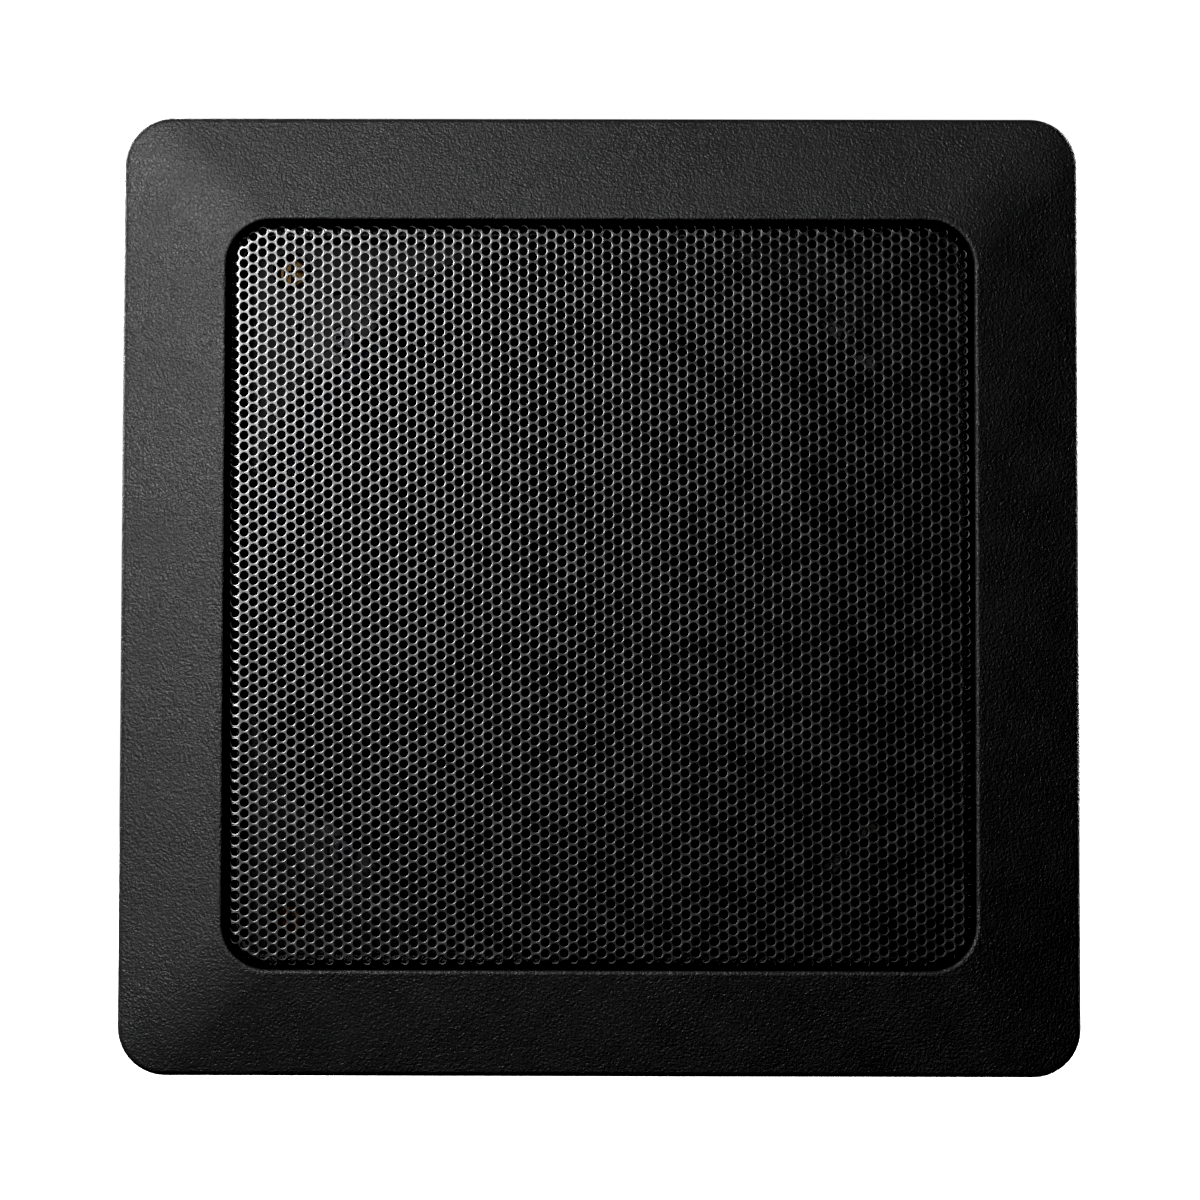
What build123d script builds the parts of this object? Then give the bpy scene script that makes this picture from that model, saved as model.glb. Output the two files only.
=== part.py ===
"""Square flush-mount loudspeaker: a moulded frame with a perforated steel grille, a full-range
driver behind it, and four swing-out clamps that hold it in a cut-out.

Millimetres. The front faces -Y, X points to the right of someone looking at the front and Z
points up. The origin is the centre of the flange's rear face, which bears on the panel (Y = 0).
One STEP file is written for each piece.
"""
import math
import os

from build123d import *

# ---- moulded frame -------------------------------------------------------------------------
FRAME_SIZE = 224.0
FRAME_CORNER = 11.2
FRAME_EDGE = 2.6            # height of the outer edge in front of the panel
RIM_HEIGHT = 9.0            # height of the inner rim in front of the panel
RIM_LIP = 0.9               # flat land on top of the rim
WINDOW = 173.6
WINDOW_CORNER = 10.6
WALL = 2.5
SKIRT_DEPTH = 14.0          # how far the frame reaches into the cut-out
POCKET_SIZE = 218.0         # hollow behind the sloping band, at the panel
POCKET_DEPTH = 6.2
RIB_THICKNESS = 1.6
RIB_SPACING = 42.0
BAFFLE_FRONT = 1.0
BAFFLE_REAR = 5.0
EDGE_ROUND = 1.8            # between the outer edge and the sloping band
RIM_ROUND = 0.7             # inner edge of the rim
SCREW_BOSS_RADIUS = 4.0
SCREW_BOSS_REAR = 15.0
PILOT_RADIUS = 1.7
PILOT_END = 13.5

# ---- grille --------------------------------------------------------------------------------
GRILLE_GAP = 0.6            # shadow gap between grille and rim
GRILLE_FRONT = -8.6
SHEET = 0.7
BEND = 2.0                  # outer radius of the folded edge
SKIRT_END = 0.95            # rear end of the grille's folded skirt
HOLE_PITCH = 2.5
HOLE_RADIUS = 1.0
HOLE_MARGIN = 0.3           # least metal between a hole and the start of the fold
LATTICE_TURN = 0.42         # the sheet was cut this many degrees off its rows of holes
LATTICE_X = 0.065           # hole nearest the centre, along the turned rows
LATTICE_Z = -0.342
FENCE_CLEARANCE = 0.1
FENCE_FRONT = -3.0
FENCE_WALL = 1.5

# ---- driver --------------------------------------------------------------------------------
OPENING_RADIUS = 77.5
FLANGE_RADIUS = 85.0
FLANGE_THICKNESS = 1.2
EAR_RADIUS = 10.6
FIXING_RADIUS = 85.2        # pitch circle radius of the four driver screws
SEAT_CLEARANCE = 0.7
GASKET_THICKNESS = 0.8
GASKET_RADIUS = 83.0
STEEL = 1.2
MOUTH_RADIUS = 76.3          # inside of the basket at its flange
SHOULDER_RADIUS = 75.0
SHOULDER_Y = 10.0
BOWL_RADIUS = 73.0
BOWL_Y = 12.5
SEAT_RADIUS = 42.5           # ring that carries the spider
SEAT_INNER = 35.5
NOSE_RADIUS = 31.0           # ring fixed to the top plate
NOSE_BORE = 16.0
WINDOWS_FRONT = 11.0
WINDOWS_REAR = 29.0
SCREW_HOLE_RADIUS = 2.1
TAG_EAR = (-52.0, -42.0)     # ear for the tag board, in Z
TAG_EAR_HALF = 12.0
LAND_THICKNESS = 0.6        # glued edge of the surround
ROLL_CENTRE = 77.0
ROLL_RADIUS = 4.8
LAND_INNER = 70.4
LAND_OUTER = 84.4
CONE_EDGE = 72.2
CONE_LIP = 70.2
CONE_NECK_DEPTH = 21.1      # depth of the cone's neck behind the baffle's front
PAPER = 0.5
CAP_RADIUS = 26.0
CAP_APEX = 8.2
COIL_RADIUS = 12.75         # outer radius of the coil's former
FORMER_WALL = 0.2
WINDING_THICKNESS = 0.5
WINDING_FRONT = 31.0
WINDING_LENGTH = 11.0
FORMER_FRONT = 18.0
SPIDER_SEAT = 26.2
SPIDER_OUTER = 41.5
SPIDER_LAND = 36.5
SPIDER_THICKNESS = 0.5
SPIDER_WAVES = 10
SPIDER_HEIGHT = 1.1
PLATE_FRONT = 34.0
PLATE_THICKNESS = 5.0
PLATE_RADIUS = 38.0
GAP_RADIUS = 13.75
MAGNET_THICKNESS = 15.0
MAGNET_RADIUS = 42.0
MAGNET_BORE = 21.0
YOKE_THICKNESS = 5.0
POLE_RADIUS = 12.15
WINDOWS_INNER = 46.0
WINDOWS_OUTER = 69.0
SPOKES = 6
SPOKE_WIDTH = 12.0

# ---- clamps --------------------------------------------------------------------------------
CLAMP_X = 72.8
CLAMP_Z = 76.3
RECESS_RADIUS = 4.5
RECESS_FLOOR = 7.0
BOSS_RADIUS = 7.0
BOSS_REAR = 10.0
SHANK_RADIUS = 2.0
SHANK_END = 52.0
HEAD_RADIUS = 3.9
HEAD_HEIGHT = 2.8
RUNNING = 0.05              # radial clearance of a running fit
RETAINER_THICKNESS = 0.8
HUB_RADIUS = 6.0
HUB_LENGTH = 7.0
HUB_FRONT = 40.0            # front face of the arm's hub when the arm is stowed
ARM_LENGTH = 28.0
ARM_WIDTH = 9.0
FOOT_LENGTH = 8.0
FOOT_HEIGHT = 5.6
BUSH_RADIUS = 3.5
BUSH_FLANGE_RADIUS = 4.5
TOWER_GAP = 0.6
TOWER_WALL = 2.5
TOWER_CAP = 3.0
NOTCH_AHEAD = 31.0          # opening in the skirt for the arm's swing, from the screw's axis
NOTCH_BEHIND = 7.4
NOTCH_START = 9.6
NOTCH_END = 20.0

# ---- connections ---------------------------------------------------------------------------
BLOCK_WIDTH = 40.0
BLOCK_TOP = -73.5
BLOCK_BOTTOM = -86.4
BLOCK_FRONT = 20.0
BLOCK_REAR = 36.0
BLOCK_EAR = 3.0
BLOCK_SCREW_X = 25.0
BLOCK_SCREW_Z = -82.0
BLOCK_BOSS_RADIUS = 3.5
BLOCK_PILOT_RADIUS = 1.4
BLOCK_PILOT_DEPTH = 11.0
POLE_SPACING = 16.0         # from one wire hole to the other
WIRE_HOLE_RADIUS = 1.6
WIRE_HOLE_Z = -83.4
LEVER_WIDTH = 6.6
LEVER_PIN_RADIUS = 1.2
LEVER_PIN_Y = 33.2
LEVER_PIN_Z = -76.2
CONTACT_Y = 27.0
CONTACT_WIDTH = 4.8
CONTACT_THICKNESS = 0.5
TAG_X = 7.0
RIVET_Z = -46.5
RIVET_RADIUS = 1.5
RIVET_HEAD_RADIUS = 2.5
RIVET_HEAD_HEIGHT = 0.6
BOARD_THICKNESS = 1.2
TAG_HALF = 2.4               # half width of a brass tag
TAG_THICKNESS = 0.8
LEAD_RADIUS = 0.9
TINSEL_RADIUS = 0.55

# sides of X and Z of each corner, and how far its clamp is turned anticlockwise, seen from the
# front, from the one at the top right: a clamp swings out when its screw turns clockwise
CORNERS = {
    "top_right": (1, 1, 0),
    "top_left": (-1, 1, 90),
    "bottom_left": (-1, -1, 180),
    "bottom_right": (1, -1, 270),
}


def front(y):
    """Drawing plane at depth y, with X to the right and Z up."""
    return Plane(origin=(0, y, 0), x_dir=(1, 0, 0), z_dir=(0, -1, 0))


def slab(sketch, y0, y1):
    """Solid with a sketch's outline between depths y0 and y1."""
    return extrude(front(y0) * sketch, amount=y1 - y0, dir=(0, 1, 0))


def square(size, corner):
    """Outline of a square with rounded corners."""
    return RectangleRounded(size, size, corner)


def rod(x, z, radius, y0, y1):
    """Round rod along Y."""
    return slab(Pos(x, z) * Circle(radius), y0, y1)


def block(x0, x1, y0, y1, z0, z1):
    """Box between two corners."""
    centre = Pos((x0 + x1) / 2, (y0 + y1) / 2, (z0 + z1) / 2)
    return centre * Box(x1 - x0, y1 - y0, z1 - z0)


def turned(*edges):
    """Solid of revolution about the Y axis, from edges drawn as (radius, depth)."""
    return revolve(make_face(edges), Axis.Y)


def at_corner(shape, corner):
    """Shape drawn about its clamp screw's axis, stowed towards -X, put in a corner."""
    side_x, side_z, turn = CORNERS[corner]
    return Pos(side_x * CLAMP_X, 0, side_z * CLAMP_Z) * Rot(0, -turn, 0) * shape


def fixing_points():
    """Centres of the four driver screws, on the diagonals."""
    offset = FIXING_RADIUS / math.sqrt(2)
    return [(sx * offset, sz * offset) for sx, sz, turn in CORNERS.values()]


def driver_outline(extra):
    """Round driver outline with an ear on each diagonal, enlarged by extra."""
    outline = Circle(FLANGE_RADIUS + extra)
    for x, z in fixing_points():
        outline += Pos(x, z) * Circle(EAR_RADIUS + extra)
    return outline


# ---- frame ---------------------------------------------------------------------------------
def bezel():
    """Sloping band around the window, hollow behind and stiffened by ribs."""
    lip = WINDOW + 2 * RIM_LIP
    solid = slab(square(FRAME_SIZE, FRAME_CORNER), -FRAME_EDGE, 0)
    solid += loft(
        [front(-FRAME_EDGE) * square(FRAME_SIZE, FRAME_CORNER),
         front(-RIM_HEIGHT) * square(lip, WINDOW_CORNER + RIM_LIP)],
        ruled=True,
    )
    shoulder = [e for e in solid.edges() if abs(e.center().Y + FRAME_EDGE) < 0.01]
    solid = fillet(shoulder, EDGE_ROUND)
    pocket = loft(
        [front(0) * square(POCKET_SIZE, FRAME_CORNER - WALL),
         front(-POCKET_DEPTH) * square(WINDOW + 2 * WALL, WINDOW_CORNER + WALL)],
        ruled=True,
    )
    reach = POCKET_SIZE / 2
    half = RIB_THICKNESS / 2
    for place in [step * RIB_SPACING for step in range(-2, 3)]:
        pocket -= block(place - half, place + half, -POCKET_DEPTH - 1, -0.4, -reach, reach)
        pocket -= block(-reach, reach, -POCKET_DEPTH - 1, -0.4, place - half, place + half)
    solid -= pocket
    solid += slab(square(WINDOW + 2 * WALL, WINDOW_CORNER + WALL), -POCKET_DEPTH - 1, 0)
    solid -= slab(square(WINDOW, WINDOW_CORNER), -RIM_HEIGHT - 1, 1)
    rim = [e for e in solid.edges() if abs(e.center().Y + RIM_HEIGHT) < 0.01]
    inner = [e for e in rim if max(abs(e.center().X), abs(e.center().Z)) < WINDOW / 2 + 0.01]
    return fillet(inner, RIM_ROUND)


def clamp_tower():
    """Boss, half tube and end cap that guide a clamp."""
    inner = HUB_RADIUS + TOWER_GAP
    outer = inner + TOWER_WALL
    rear = HUB_FRONT + HUB_LENGTH + 0.4
    tube = slab(Circle(outer) - Circle(inner), BAFFLE_REAR, rear)
    open_side = Rot(0, 45, 0) * block(-40, 0, 0, rear + 1, -40, 40)
    tube -= open_side
    cap = slab(Circle(outer), rear, rear + TOWER_CAP)
    cap -= slab(Circle(SHANK_RADIUS + 2 * RUNNING), rear, rear + TOWER_CAP)
    boss = slab(Circle(BOSS_RADIUS), BAFFLE_REAR - 0.5, BOSS_REAR)
    return tube + cap + boss


def front_frame():
    """One moulding: bezel, skirt, baffle, driver seat, clamp towers and screw bosses."""
    solid = bezel()
    outer = square(WINDOW + 2 * WALL, WINDOW_CORNER + WALL)
    solid += slab(outer - square(WINDOW, WINDOW_CORNER), -POCKET_DEPTH, SKIRT_DEPTH)
    solid += slab(outer, BAFFLE_FRONT, BAFFLE_REAR)
    fence_out = WINDOW - 2 * (GRILLE_GAP + SHEET + FENCE_CLEARANCE)
    fence_corner = WINDOW_CORNER - GRILLE_GAP - SHEET - FENCE_CLEARANCE
    fence = square(fence_out, fence_corner)
    fence -= square(fence_out - 2 * FENCE_WALL, fence_corner - FENCE_WALL)
    solid += slab(fence - Circle(FLANGE_RADIUS + SEAT_CLEARANCE), FENCE_FRONT, BAFFLE_FRONT)
    seat = BAFFLE_FRONT + FLANGE_THICKNESS + GASKET_THICKNESS
    solid -= slab(driver_outline(SEAT_CLEARANCE) & square(WINDOW, WINDOW_CORNER), BAFFLE_FRONT, seat)
    solid -= slab(Circle(OPENING_RADIUS), BAFFLE_FRONT, BAFFLE_REAR)
    for x, z in fixing_points():
        solid += rod(x, z, SCREW_BOSS_RADIUS, BAFFLE_REAR, SCREW_BOSS_REAR)
        solid -= rod(x, z, PILOT_RADIUS, seat, PILOT_END)
    notch = block(-NOTCH_AHEAD, NOTCH_BEHIND, BAFFLE_REAR, SKIRT_DEPTH, NOTCH_START, NOTCH_END)
    recess = rod(0, 0, RECESS_RADIUS, BAFFLE_FRONT, RECESS_FLOOR)
    recess += rod(0, 0, SHANK_RADIUS + 2 * RUNNING, RECESS_FLOOR, BOSS_REAR)
    for corner in CORNERS:
        solid -= at_corner(notch, corner)
        solid += at_corner(clamp_tower(), corner)
        solid -= at_corner(recess, corner)
    for x in (-BLOCK_SCREW_X, BLOCK_SCREW_X):
        solid += rod(x, BLOCK_SCREW_Z, BLOCK_BOSS_RADIUS, BAFFLE_REAR, BLOCK_FRONT)
        solid += block(x - 0.8, x + 0.8, BAFFLE_REAR, SKIRT_DEPTH, -WINDOW / 2, BLOCK_SCREW_Z - 3)
        solid -= rod(x, BLOCK_SCREW_Z, BLOCK_PILOT_RADIUS, BLOCK_FRONT - BLOCK_PILOT_DEPTH, BLOCK_FRONT)
    return solid


# ---- grille --------------------------------------------------------------------------------
def turned_point(u, v):
    """Point on the sheet at (u, v) along its rows of holes."""
    turn = math.radians(LATTICE_TURN)
    return (u * math.cos(turn) - v * math.sin(turn), u * math.sin(turn) + v * math.cos(turn))


def fits(point, half, corner):
    """True if a hole at this point is well inside a rounded square."""
    over = [max(abs(value) - (half - corner), 0) for value in point]
    return math.hypot(*over) <= corner - HOLE_RADIUS - HOLE_MARGIN


def hole_columns(half, corner):
    """Columns of a triangular lattice of holes: place of each column, and its hole centres."""
    step = HOLE_PITCH * math.sqrt(3) / 2
    count = int(half / step) + 1
    rows = int(half / HOLE_PITCH) + 1
    columns = []
    for i in range(-count, count + 1):
        u = LATTICE_X + i * step
        shift = LATTICE_Z + (HOLE_PITCH / 2 if i % 2 else 0.0)
        centres = [turned_point(u, shift + j * HOLE_PITCH) for j in range(-rows, rows + 1)]
        centres = [point for point in centres if fits(point, half, corner)]
        if centres:
            columns.append((u, centres))
    return columns


def grille():
    """Folded pan of thin steel with round holes on a triangular lattice.

    The flat is made of one strip of face for each column of holes on either side of the sheet.
    The strips, the bores of the holes and the folded edge are sewn into one solid.
    """
    size = WINDOW - 2 * GRILLE_GAP
    corner = WINDOW_CORNER - GRILLE_GAP
    pan = slab(square(size, corner), GRILLE_FRONT, SKIRT_END)
    pan = fillet(pan.faces().sort_by(Axis.Y)[0].edges(), BEND)
    inside = slab(square(size - 2 * SHEET, corner - SHEET), GRILLE_FRONT + SHEET, SKIRT_END + 1)
    pan -= fillet(inside.faces().sort_by(Axis.Y)[0].edges(), BEND - SHEET)
    half = size / 2 - BEND
    flat = square(2 * half, corner - BEND)
    edge = pan - slab(flat, GRILLE_FRONT - 1, GRILLE_FRONT + SHEET + 1)
    joint = [f for f in edge.faces() if is_on_joint(f, half)]
    faces = [f for f in edge.faces() if f not in joint]
    columns = hole_columns(half, corner - BEND)
    reach = half + 1
    borders = [(a[0] + b[0]) / 2 for a, b in zip(columns, columns[1:])]
    borders = [-reach] + borders + [reach]
    turn = Rot(0, 0, LATTICE_TURN)
    for depth in (GRILLE_FRONT, GRILLE_FRONT + SHEET):
        for (u, centres), left, right in zip(columns, borders, borders[1:]):
            strip = turn * Pos((left + right) / 2, 0) * Rectangle(right - left, 2 * reach)
            outline = (front(depth) * (flat & strip)).face().outer_wire()
            holes = [Wire(hole_circle(x, z, depth)) for x, z in centres]
            faces.append(Face(outline, holes))
    for u, centres in columns:
        for x, z in centres:
            faces.append(Face.extrude(hole_circle(x, z, GRILLE_FRONT), Vector(0, SHEET, 0)))
    return Solid(Shell(faces))


def hole_circle(x, z, depth):
    """Edge of one perforation."""
    plane = Plane(origin=(x, depth, z), x_dir=(1, 0, 0), z_dir=(0, -1, 0))
    return Edge.make_circle(HOLE_RADIUS, plane)


def is_on_joint(face, half):
    """True for the thin faces where the folded edge meets the perforated flat."""
    box = face.bounding_box()
    thin = box.max.Y < GRILLE_FRONT + SHEET + 0.01
    return thin and max(box.max.X, box.max.Z, -box.min.X, -box.min.Z) < half + 0.01 \
        and box.max.Y - box.min.Y > SHEET - 0.01


# ---- driver --------------------------------------------------------------------------------
def cone_depth(radius):
    """Depth of the cone's front surface at a radius."""
    slope = (CONE_NECK_DEPTH - BAFFLE_FRONT) / (CONE_LIP - COIL_RADIUS)
    return BAFFLE_FRONT + (CONE_LIP - radius) * slope


def driver_gasket():
    """Foam ring between the driver's flange and its seat."""
    seat = BAFFLE_FRONT + FLANGE_THICKNESS
    return slab(Circle(GASKET_RADIUS) - Circle(OPENING_RADIUS), seat, seat + GASKET_THICKNESS)


def basket():
    """Pressed steel basket with six spokes, a spider seat and an ear for the tag board."""
    seat = BAFFLE_FRONT + FLANGE_THICKNESS
    flange = slab(driver_outline(0) - Circle(MOUTH_RADIUS), BAFFLE_FRONT, seat)
    for x, z in fixing_points():
        flange -= rod(x, z, SCREW_HOLE_RADIUS, BAFFLE_FRONT, seat)
    nose = PLATE_FRONT - STEEL
    inner = [(MOUTH_RADIUS, BAFFLE_FRONT), (SHOULDER_RADIUS, SHOULDER_Y), (BOWL_RADIUS, BOWL_Y),
             (SEAT_RADIUS, SPIDER_SEAT), (SEAT_INNER, SPIDER_SEAT), (NOSE_RADIUS, nose),
             (NOSE_BORE, nose)]
    outer = [(r + 1.0, y + STEEL) for r, y in inner[:-1]] + [(NOSE_BORE, PLATE_FRONT)]
    bowl = turned(Polyline(*inner, *reversed(outer), close=True))
    windows = Circle(WINDOWS_OUTER) - Circle(WINDOWS_INNER)
    for spoke in range(SPOKES // 2):
        angle = 90 + spoke * 360 / SPOKES
        windows -= Rot(0, 0, angle) * Rectangle(2 * WINDOWS_OUTER, SPOKE_WIDTH)
    bowl -= slab(windows, WINDOWS_FRONT, WINDOWS_REAR)
    bowl -= rod(0, RIVET_Z, RIVET_HEAD_RADIUS + 0.5, SPIDER_SEAT - 5, SPIDER_SEAT)
    rear = SPIDER_SEAT + STEEL
    ear = block(-TAG_EAR_HALF, TAG_EAR_HALF, SPIDER_SEAT, rear, *TAG_EAR)
    return bowl + flange + ear - rod(0, RIVET_Z, RIVET_RADIUS, SPIDER_SEAT, rear)


def surround():
    """Rubber half roll with a glued land on either side, cut back around the screws."""
    back = BAFFLE_FRONT
    face = back - LAND_THICKNESS
    thin = ROLL_RADIUS - LAND_THICKNESS
    reach = math.sqrt(ROLL_RADIUS ** 2 - LAND_THICKNESS ** 2)
    solid = turned(
        Polyline((ROLL_CENTRE - thin, back), (LAND_INNER, back), (LAND_INNER, face),
                 (ROLL_CENTRE - reach, face)),
        ThreePointArc((ROLL_CENTRE - reach, face), (ROLL_CENTRE, back - ROLL_RADIUS),
                      (ROLL_CENTRE + reach, face)),
        Polyline((ROLL_CENTRE + reach, face), (LAND_OUTER, face), (LAND_OUTER, back),
                 (ROLL_CENTRE + thin, back)),
        ThreePointArc((ROLL_CENTRE + thin, back), (ROLL_CENTRE, back - thin),
                      (ROLL_CENTRE - thin, back)),
    )
    for x, z in fixing_points():
        solid -= rod(x, z, 3.5, face - 0.1, back + 0.1)
    return solid


def gasket_segments():
    """Four pressed segments over the surround's outer land, from screw to screw."""
    rear = BAFFLE_FRONT - LAND_THICKNESS
    ring = Circle(84.9) - Circle(ROLL_CENTRE + ROLL_RADIUS + 0.1)
    for x, z in fixing_points():
        ring -= Pos(x, z) * Circle(3.9)
    return slab(ring, rear - 1.2, rear).solids()


def cone():
    """Paper cone with a flat glued lip."""
    back = PAPER + 0.03
    return turned(Polyline(
        (CONE_EDGE, BAFFLE_FRONT), (CONE_LIP, BAFFLE_FRONT), (COIL_RADIUS, CONE_NECK_DEPTH),
        (COIL_RADIUS, CONE_NECK_DEPTH + back), (CONE_LIP, BAFFLE_FRONT + back),
        (CONE_EDGE, BAFFLE_FRONT + back), close=True))


def dust_cap():
    """Domed cap glued on the cone."""
    outer = CAP_RADIUS
    inner = CAP_RADIUS - PAPER
    outside = circle_through(outer, cone_depth(outer), CAP_APEX)
    inside = circle_through(inner, cone_depth(inner), CAP_APEX + PAPER)
    return turned(
        ThreePointArc((outer, cone_depth(outer)), outside, (0, CAP_APEX)),
        Line((0, CAP_APEX), (0, CAP_APEX + PAPER)),
        ThreePointArc((0, CAP_APEX + PAPER), inside, (inner, cone_depth(inner))),
        Line((inner, cone_depth(inner)), (outer, cone_depth(outer))),
    )


def circle_through(radius, base, apex):
    """Point halfway along the arc of a dome with this base radius, base depth and apex."""
    rise = base - apex
    sphere = (radius ** 2 + rise ** 2) / (2 * rise)
    half_angle = math.asin(radius / sphere) / 2
    return (sphere * math.sin(half_angle), apex + sphere * (1 - math.cos(half_angle)))


def coil_former():
    """Thin tube that joins the cone to the coil."""
    end = WINDING_FRONT + WINDING_LENGTH + 0.5
    return slab(Circle(COIL_RADIUS) - Circle(COIL_RADIUS - FORMER_WALL), FORMER_FRONT, end)


def voice_coil():
    """Copper winding on the former."""
    outer = COIL_RADIUS + WINDING_THICKNESS
    ring = Circle(outer) - Circle(COIL_RADIUS)
    return slab(ring, WINDING_FRONT, WINDING_FRONT + WINDING_LENGTH)


def spider():
    """Corrugated cloth disc that centres the coil."""
    inner = COIL_RADIUS + 1.2
    step = (SPIDER_LAND - inner) / SPIDER_WAVES
    face = SPIDER_SEAT - SPIDER_THICKNESS
    edges = []
    for level in (face, SPIDER_SEAT):
        for wave in range(SPIDER_WAVES):
            start = inner + wave * step
            swing = SPIDER_HEIGHT if wave % 2 == 0 else -SPIDER_HEIGHT
            edges.append(ThreePointArc((start, level), (start + step / 2, level + swing / 2),
                                       (start + step, level)))
    edges.append(Polyline((inner, face), (COIL_RADIUS, face), (COIL_RADIUS, SPIDER_SEAT),
                          (inner, SPIDER_SEAT)))
    edges.append(Polyline((SPIDER_LAND, face), (SPIDER_OUTER, face), (SPIDER_OUTER, SPIDER_SEAT),
                          (SPIDER_LAND, SPIDER_SEAT)))
    return turned(*edges)


def top_plate():
    """Steel ring in front of the magnet."""
    ring = Circle(PLATE_RADIUS) - Circle(GAP_RADIUS)
    return slab(ring, PLATE_FRONT, PLATE_FRONT + PLATE_THICKNESS)


def magnet():
    """Ferrite ring with broken edges."""
    start = PLATE_FRONT + PLATE_THICKNESS
    ring = slab(Circle(MAGNET_RADIUS) - Circle(MAGNET_BORE), start, start + MAGNET_THICKNESS)
    rims = [e for e in ring.edges() if e.geom_type == GeomType.CIRCLE and e.radius > MAGNET_BORE + 1]
    return chamfer(rims, 1.0)


def yoke():
    """Steel back plate and pole in one."""
    start = PLATE_FRONT + PLATE_THICKNESS + MAGNET_THICKNESS
    end = start + YOKE_THICKNESS
    tip = PLATE_FRONT - 0.4
    return turned(Polyline(
        (0, tip), (POLE_RADIUS, tip), (POLE_RADIUS, start), (PLATE_RADIUS, start),
        (PLATE_RADIUS, end - 1.5), (PLATE_RADIUS - 1.5, end), (0, end), close=True))


def screw(x, z, seat, head_radius, head_height, shank_radius, end, recess):
    """Pan-head screw along Y with a cross recess."""
    solid = rod(x, z, head_radius, seat - head_height, seat)
    rim = solid.faces().sort_by(Axis.Y)[0].edges()
    solid = fillet(rim, head_height * 0.45)
    solid += rod(x, z, shank_radius, seat, end)
    cross = Rectangle(recess, recess * 0.24) + Rectangle(recess * 0.24, recess)
    top = seat - head_height
    return solid - slab(Pos(x, z) * cross, top, top + head_height * 0.6)


def driver_screws():
    """Four screws that hold the driver to the frame."""
    return [screw(x, z, BAFFLE_FRONT, 3.3, 2.2, 1.68, 13.0, 3.6) for x, z in fixing_points()]


# ---- clamps --------------------------------------------------------------------------------
def clamp_screw():
    """Long screw that swings and pulls a clamp."""
    return screw(0, 0, RECESS_FLOOR, HEAD_RADIUS, HEAD_HEIGHT, SHANK_RADIUS, SHANK_END, 4.6)


def clamp_retainer():
    """Push-on washer that keeps the screw in its boss."""
    ring = Circle(4.6) - Circle(SHANK_RADIUS)
    start = BOSS_REAR + RUNNING
    return slab(ring, start, start + RETAINER_THICKNESS)


def clamp_bush():
    """Threaded bush that runs along the screw and carries the arm."""
    rear = HUB_FRONT + HUB_LENGTH
    solid = slab(Circle(BUSH_RADIUS), HUB_FRONT, rear)
    solid += slab(Circle(BUSH_FLANGE_RADIUS), rear - 1.0, rear)
    return solid - slab(Circle(SHANK_RADIUS + RUNNING), HUB_FRONT, rear)


def clamp_arm():
    """Dog-leg arm with a foot that grips the panel."""
    rear = HUB_FRONT + HUB_LENGTH
    bar = Pos(-ARM_LENGTH / 2, 0) * Rectangle(ARM_LENGTH, ARM_WIDTH)
    solid = slab(Circle(HUB_RADIUS) + bar, HUB_FRONT, rear)
    foot = Pos(-ARM_LENGTH + FOOT_LENGTH / 2, 0) * Rectangle(FOOT_LENGTH, ARM_WIDTH)
    solid += slab(foot, HUB_FRONT - FOOT_HEIGHT, HUB_FRONT)
    tip = [e for e in solid.edges().filter_by(Axis.Y) if e.center().X < -ARM_LENGTH + 0.1]
    solid = fillet(tip, 2.5)
    solid -= slab(Circle(BUSH_RADIUS + RUNNING), HUB_FRONT, rear)
    return solid - slab(Circle(BUSH_FLANGE_RADIUS + RUNNING), rear - 1.0 - RUNNING, rear)


# ---- connections ---------------------------------------------------------------------------
def terminal_block():
    """Housing of the two spring terminals, on two bosses behind the baffle."""
    half = BLOCK_WIDTH / 2
    solid = block(-half, half, BLOCK_FRONT, BLOCK_REAR, BLOCK_BOTTOM, BLOCK_TOP)
    solid = fillet(solid.edges().filter_by(Axis.Y), 1.2)
    ear_end = BLOCK_SCREW_X + 4.4
    ears = block(-ear_end, ear_end, BLOCK_FRONT, BLOCK_FRONT + BLOCK_EAR, BLOCK_BOTTOM, -77.6)
    solid += fillet(ears.edges().filter_by(Axis.Y), 2.5)
    for x in (-BLOCK_SCREW_X, BLOCK_SCREW_X):
        solid -= rod(x, BLOCK_SCREW_Z, 1.7, BLOCK_FRONT, BLOCK_FRONT + BLOCK_EAR)
    for x in (-POLE_SPACING / 2, POLE_SPACING / 2):
        solid -= block(x - 3.5, x + 3.5, 23.0, 31.0, -85.2, -74.7)
        solid -= block(x - 3.5, x + 3.5, 31.0, BLOCK_REAR, -81.4, -74.7)
        solid -= rod(x, WIRE_HOLE_Z, WIRE_HOLE_RADIUS, 31.0, BLOCK_REAR)
        pin = Plane(origin=(x - 5, LEVER_PIN_Y, LEVER_PIN_Z), z_dir=(1, 0, 0))
        solid -= extrude(pin * Circle(LEVER_PIN_RADIUS + RUNNING), 10)
        slot = CONTACT_WIDTH / 2
        solid -= block(x - slot, x + slot, CONTACT_Y, CONTACT_Y + CONTACT_THICKNESS,
                       -74.8, BLOCK_TOP)
    return solid


def terminal_lever(x):
    """Push lever of one terminal, with its pivot pins."""
    half = LEVER_WIDTH / 2
    paddle = block(x - half, x + half, 34.4, 38.6, -80.4, -74.9)
    paddle = fillet(paddle.faces().sort_by(Axis.Y)[-1].edges(), 0.8)
    heel = block(x - half, x + half, 31.8, 34.4, -77.8, -75.3)
    pin = Plane(origin=(x - 4.6, LEVER_PIN_Y, LEVER_PIN_Z), z_dir=(1, 0, 0))
    return paddle + heel + extrude(pin * Circle(LEVER_PIN_RADIUS), 9.2)


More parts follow.
